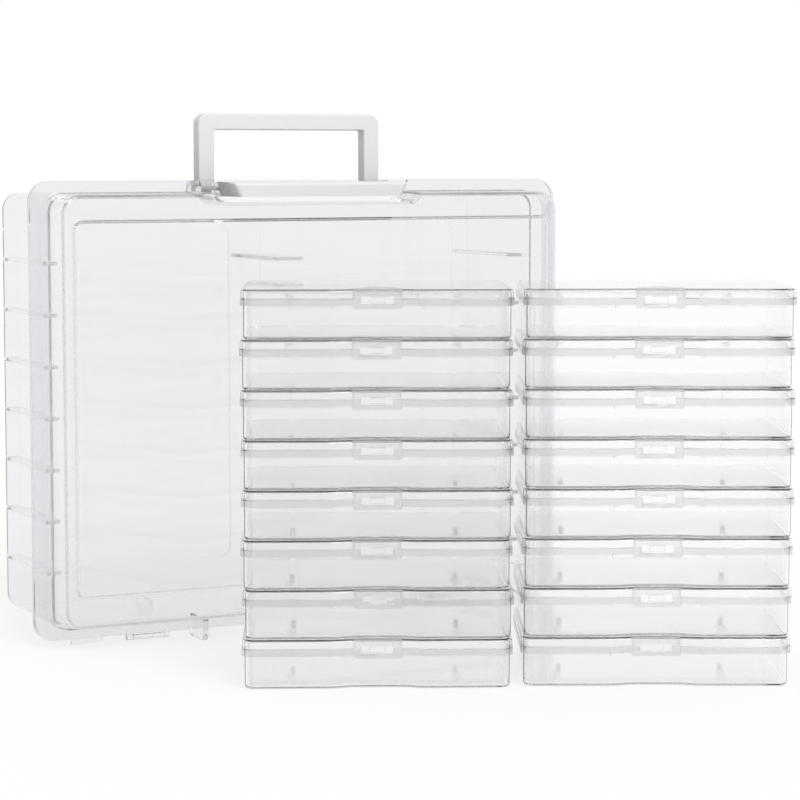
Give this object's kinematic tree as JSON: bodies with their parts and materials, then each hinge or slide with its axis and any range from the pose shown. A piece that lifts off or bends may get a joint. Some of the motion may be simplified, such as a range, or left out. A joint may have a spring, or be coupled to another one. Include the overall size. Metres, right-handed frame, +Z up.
{
  "type": "photo keeper case set",
  "caption": "Clear upright carrying case with a hinged front lid, latch and folding handle, and two stacks of clear lidded photo cases standing before it.",
  "frame": {"origin": "middle of the footprint of the whole set, on the ground", "axes": "+X to the right as seen from the front of the stacks, +Y away from the viewer, +Z up; the carrying case is turned about +Z, its right side away"},
  "size_m": [0.5212, 0.4016, 0.3573],
  "materials": {
    "clear_case": "gloss",
    "clear_lid": "gloss",
    "photo_tray": "gloss",
    "photo_lid": "gloss",
    "white_plastic": "satin"
  },
  "bodies": {
    "case_body": {"case_body": "clear_case"},
    "case_lid": {"case_lid": "clear_lid"},
    "lid_latch": {"lid_latch": "white_plastic"},
    "carry_handle": {"carry_handle": "white_plastic"},
    "left_case_1_tray": {"left_case_1_tray": "photo_tray"},
    "left_case_1_lid": {"left_case_1_lid": "photo_lid"},
    "left_case_2_tray": {"left_case_2_tray": "photo_tray"},
    "left_case_2_lid": {"left_case_2_lid": "photo_lid"},
    "left_case_3_tray": {"left_case_3_tray": "photo_tray"},
    "left_case_3_lid": {"left_case_3_lid": "photo_lid"},
    "left_case_4_tray": {"left_case_4_tray": "photo_tray"},
    "left_case_4_lid": {"left_case_4_lid": "photo_lid"},
    "left_case_5_tray": {"left_case_5_tray": "photo_tray"},
    "left_case_5_lid": {"left_case_5_lid": "photo_lid"},
    "left_case_6_tray": {"left_case_6_tray": "photo_tray"},
    "left_case_6_lid": {"left_case_6_lid": "photo_lid"},
    "left_case_7_tray": {"left_case_7_tray": "photo_tray"},
    "left_case_7_lid": {"left_case_7_lid": "photo_lid"},
    "left_case_8_tray": {"left_case_8_tray": "photo_tray"},
    "left_case_8_lid": {"left_case_8_lid": "photo_lid"},
    "right_case_1_tray": {"right_case_1_tray": "photo_tray"},
    "right_case_1_lid": {"right_case_1_lid": "photo_lid"},
    "right_case_2_tray": {"right_case_2_tray": "photo_tray"},
    "right_case_2_lid": {"right_case_2_lid": "photo_lid"},
    "right_case_3_tray": {"right_case_3_tray": "photo_tray"},
    "right_case_3_lid": {"right_case_3_lid": "photo_lid"},
    "right_case_4_tray": {"right_case_4_tray": "photo_tray"},
    "right_case_4_lid": {"right_case_4_lid": "photo_lid"},
    "right_case_5_tray": {"right_case_5_tray": "photo_tray"},
    "right_case_5_lid": {"right_case_5_lid": "photo_lid"},
    "right_case_6_tray": {"right_case_6_tray": "photo_tray"},
    "right_case_6_lid": {"right_case_6_lid": "photo_lid"},
    "right_case_7_tray": {"right_case_7_tray": "photo_tray"},
    "right_case_7_lid": {"right_case_7_lid": "photo_lid"},
    "right_case_8_tray": {"right_case_8_tray": "photo_tray"},
    "right_case_8_lid": {"right_case_8_lid": "photo_lid"}
  },
  "joints": [
    {"name": "case_lid_swing", "type": "hinge", "parent": "case_body", "child": "case_lid", "pos_m": [-0.0509, 0.02622, 0.0019], "axis": [0.8934, 0.4493, 0], "range_deg": [0, 90]},
    {"name": "latch_flip", "type": "hinge", "parent": "case_lid", "child": "lid_latch", "pos_m": [-0.04886, 0.02216, 0.3064], "axis": [-0.8934, -0.4493, 0], "range_deg": [0, 90]},
    {"name": "handle_fold", "type": "hinge", "parent": "case_body", "child": "carry_handle", "pos_m": [-0.06256, 0.0494, 0.3083], "axis": [-0.8934, -0.4493, 0], "range_deg": [0, 90]},
    {"name": "left_stack_move", "type": "slide", "parent": "case_body", "child": "left_case_1_tray", "axis": [0.4493, -0.8934, 0], "range_m": [0, 0.37]},
    {"name": "left_case_1_open", "type": "hinge", "parent": "left_case_1_tray", "child": "left_case_1_lid", "pos_m": [-0.00093, -0.07746, 0.0186], "axis": [-0.9996, -0.0297, 0], "range_deg": [0, 100]},
    {"name": "left_case_2_lift", "type": "slide", "parent": "left_case_1_tray", "child": "left_case_2_tray", "axis": [0, 0, 1], "range_m": [0, 0.218]},
    {"name": "left_case_2_open", "type": "hinge", "parent": "left_case_2_tray", "child": "left_case_2_lid", "pos_m": [-0.00033, -0.07746, 0.0495], "axis": [-0.9996, -0.0297, 0], "range_deg": [0, 100]},
    {"name": "left_case_3_lift", "type": "slide", "parent": "left_case_2_tray", "child": "left_case_3_tray", "axis": [0, 0, 1], "range_m": [0, 0.218]},
    {"name": "left_case_3_open", "type": "hinge", "parent": "left_case_3_tray", "child": "left_case_3_lid", "pos_m": [-0.00129, -0.07746, 0.0804], "axis": [-0.9996, -0.0297, 0], "range_deg": [0, 100]},
    {"name": "left_case_4_lift", "type": "slide", "parent": "left_case_3_tray", "child": "left_case_4_tray", "axis": [0, 0, 1], "range_m": [0, 0.218]},
    {"name": "left_case_4_open", "type": "hinge", "parent": "left_case_4_tray", "child": "left_case_4_lid", "pos_m": [-0.00069, -0.07746, 0.1113], "axis": [-0.9996, -0.0297, 0], "range_deg": [0, 100]},
    {"name": "left_case_5_lift", "type": "slide", "parent": "left_case_4_tray", "child": "left_case_5_tray", "axis": [0, 0, 1], "range_m": [0, 0.218]},
    {"name": "left_case_5_open", "type": "hinge", "parent": "left_case_5_tray", "child": "left_case_5_lid", "pos_m": [-0.00081, -0.07746, 0.1422], "axis": [-0.9996, -0.0297, 0], "range_deg": [0, 100]},
    {"name": "left_case_6_lift", "type": "slide", "parent": "left_case_5_tray", "child": "left_case_6_tray", "axis": [0, 0, 1], "range_m": [0, 0.218]},
    {"name": "left_case_6_open", "type": "hinge", "parent": "left_case_6_tray", "child": "left_case_6_lid", "pos_m": [-0.00117, -0.07746, 0.1731], "axis": [-0.9996, -0.0297, 0], "range_deg": [0, 100]},
    {"name": "left_case_7_lift", "type": "slide", "parent": "left_case_6_tray", "child": "left_case_7_tray", "axis": [0, 0, 1], "range_m": [0, 0.218]},
    {"name": "left_case_7_open", "type": "hinge", "parent": "left_case_7_tray", "child": "left_case_7_lid", "pos_m": [-0.00141, -0.07746, 0.204], "axis": [-0.9996, -0.0297, 0], "range_deg": [0, 100]},
    {"name": "left_case_8_lift", "type": "slide", "parent": "left_case_7_tray", "child": "left_case_8_tray", "axis": [0, 0, 1], "range_m": [0, 0.218]},
    {"name": "left_case_8_open", "type": "hinge", "parent": "left_case_8_tray", "child": "left_case_8_lid", "pos_m": [-0.00075, -0.07746, 0.2349], "axis": [-0.9996, -0.0297, 0], "range_deg": [0, 100]},
    {"name": "right_stack_move", "type": "slide", "parent": "case_body", "child": "right_case_1_tray", "axis": [0.4493, -0.8934, 0], "range_m": [0, 0.37]},
    {"name": "right_case_1_open", "type": "hinge", "parent": "right_case_1_tray", "child": "right_case_1_lid", "pos_m": [0.17541, -0.06971, 0.0186], "axis": [-1, 0, 0], "range_deg": [0, 100]},
    {"name": "right_case_2_lift", "type": "slide", "parent": "right_case_1_tray", "child": "right_case_2_tray", "axis": [0, 0, 1], "range_m": [0, 0.218]},
    {"name": "right_case_2_open", "type": "hinge", "parent": "right_case_2_tray", "child": "right_case_2_lid", "pos_m": [0.17559, -0.06971, 0.0495], "axis": [-1, 0, 0], "range_deg": [0, 100]},
    {"name": "right_case_3_lift", "type": "slide", "parent": "right_case_2_tray", "child": "right_case_3_tray", "axis": [0, 0, 1], "range_m": [0, 0.218]},
    {"name": "right_case_3_open", "type": "hinge", "parent": "right_case_3_tray", "child": "right_case_3_lid", "pos_m": [0.17601, -0.06971, 0.0804], "axis": [-1, 0, 0], "range_deg": [0, 100]},
    {"name": "right_case_4_lift", "type": "slide", "parent": "right_case_3_tray", "child": "right_case_4_tray", "axis": [0, 0, 1], "range_m": [0, 0.218]},
    {"name": "right_case_4_open", "type": "hinge", "parent": "right_case_4_tray", "child": "right_case_4_lid", "pos_m": [0.17655, -0.06971, 0.1113], "axis": [-1, 0, 0], "range_deg": [0, 100]},
    {"name": "right_case_5_lift", "type": "slide", "parent": "right_case_4_tray", "child": "right_case_5_tray", "axis": [0, 0, 1], "range_m": [0, 0.218]},
    {"name": "right_case_5_open", "type": "hinge", "parent": "right_case_5_tray", "child": "right_case_5_lid", "pos_m": [0.17619, -0.06971, 0.1422], "axis": [-1, 0, 0], "range_deg": [0, 100]},
    {"name": "right_case_6_lift", "type": "slide", "parent": "right_case_5_tray", "child": "right_case_6_tray", "axis": [0, 0, 1], "range_m": [0, 0.218]},
    {"name": "right_case_6_open", "type": "hinge", "parent": "right_case_6_tray", "child": "right_case_6_lid", "pos_m": [0.17631, -0.06971, 0.1731], "axis": [-1, 0, 0], "range_deg": [0, 100]},
    {"name": "right_case_7_lift", "type": "slide", "parent": "right_case_6_tray", "child": "right_case_7_tray", "axis": [0, 0, 1], "range_m": [0, 0.218]},
    {"name": "right_case_7_open", "type": "hinge", "parent": "right_case_7_tray", "child": "right_case_7_lid", "pos_m": [0.17577, -0.06971, 0.204], "axis": [-1, 0, 0], "range_deg": [0, 100]},
    {"name": "right_case_8_lift", "type": "slide", "parent": "right_case_7_tray", "child": "right_case_8_tray", "axis": [0, 0, 1], "range_m": [0, 0.218]},
    {"name": "right_case_8_open", "type": "hinge", "parent": "right_case_8_tray", "child": "right_case_8_lid", "pos_m": [0.17649, -0.06971, 0.2349], "axis": [-1, 0, 0], "range_deg": [0, 100]}
  ],
  "couplings": [
    {"joint": "left_stack_move", "follows": "case_lid_swing", "m_per_rad": 0.23},
    {"joint": "left_case_1_open", "follows": "left_case_2_lift", "rad_per_m": 8},
    {"joint": "left_case_2_open", "follows": "left_case_3_lift", "rad_per_m": 8},
    {"joint": "left_case_3_open", "follows": "left_case_4_lift", "rad_per_m": 8},
    {"joint": "left_case_4_open", "follows": "left_case_5_lift", "rad_per_m": 8},
    {"joint": "left_case_5_open", "follows": "left_case_6_lift", "rad_per_m": 8},
    {"joint": "left_case_6_open", "follows": "left_case_7_lift", "rad_per_m": 8},
    {"joint": "left_case_7_open", "follows": "left_case_8_lift", "rad_per_m": 8},
    {"joint": "right_stack_move", "follows": "case_lid_swing", "m_per_rad": 0.23},
    {"joint": "right_case_1_open", "follows": "right_case_2_lift", "rad_per_m": 8},
    {"joint": "right_case_2_open", "follows": "right_case_3_lift", "rad_per_m": 8},
    {"joint": "right_case_3_open", "follows": "right_case_4_lift", "rad_per_m": 8},
    {"joint": "right_case_4_open", "follows": "right_case_5_lift", "rad_per_m": 8},
    {"joint": "right_case_5_open", "follows": "right_case_6_lift", "rad_per_m": 8},
    {"joint": "right_case_6_open", "follows": "right_case_7_lift", "rad_per_m": 8},
    {"joint": "right_case_7_open", "follows": "right_case_8_lift", "rad_per_m": 8}
  ]
}
